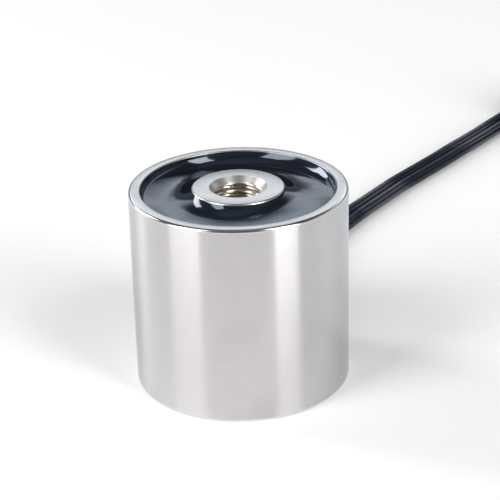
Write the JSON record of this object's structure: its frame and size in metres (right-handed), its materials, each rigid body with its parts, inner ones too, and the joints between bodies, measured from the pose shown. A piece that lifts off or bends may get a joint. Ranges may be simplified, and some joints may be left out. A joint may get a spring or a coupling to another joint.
{
  "type": "holding electromagnet",
  "caption": "Round pot electromagnet with a nickel-plated steel shell, tapped centre core, potted coil and two insulated leads, for holding flat steel parts.",
  "frame": {"origin": "centre of the base, on the surface it stands on", "axes": "+Z along the magnet's axis towards the pole face, +Y towards the lead exit"},
  "size_m": [0.0485, 0.0918, 0.0188],
  "materials": {
    "nickel_shell": "bright nickel on turned steel",
    "nickel_core": "bright nickel on turned steel",
    "bobbin_nylon": "moulded",
    "copper_winding": "enamelled",
    "tape": "film tape",
    "black_resin": "cast and glossy",
    "solder": "bright",
    "sleeve": "woven",
    "lead_pvc": "satin",
    "tinned_wire": "tinned",
    "tie_plastic": "matt"
  },
  "bodies": {
    "root": {"shell": "nickel_shell", "core": "nickel_core", "bobbin": "bobbin_nylon", "winding": "copper_winding", "winding_tape": "tape", "potting": "black_resin", "joint_a": "solder", "joint_b": "solder", "joint_sleeve_a": "sleeve", "joint_sleeve_b": "sleeve", "lead_a": "lead_pvc", "lead_b": "lead_pvc", "lead_coil": "lead_pvc", "lead_tail_a": "lead_pvc", "lead_tail_b": "lead_pvc", "lead_tip_a": "tinned_wire", "lead_tip_b": "tinned_wire", "lead_tie": "tie_plastic"}
  },
  "joints": []
}
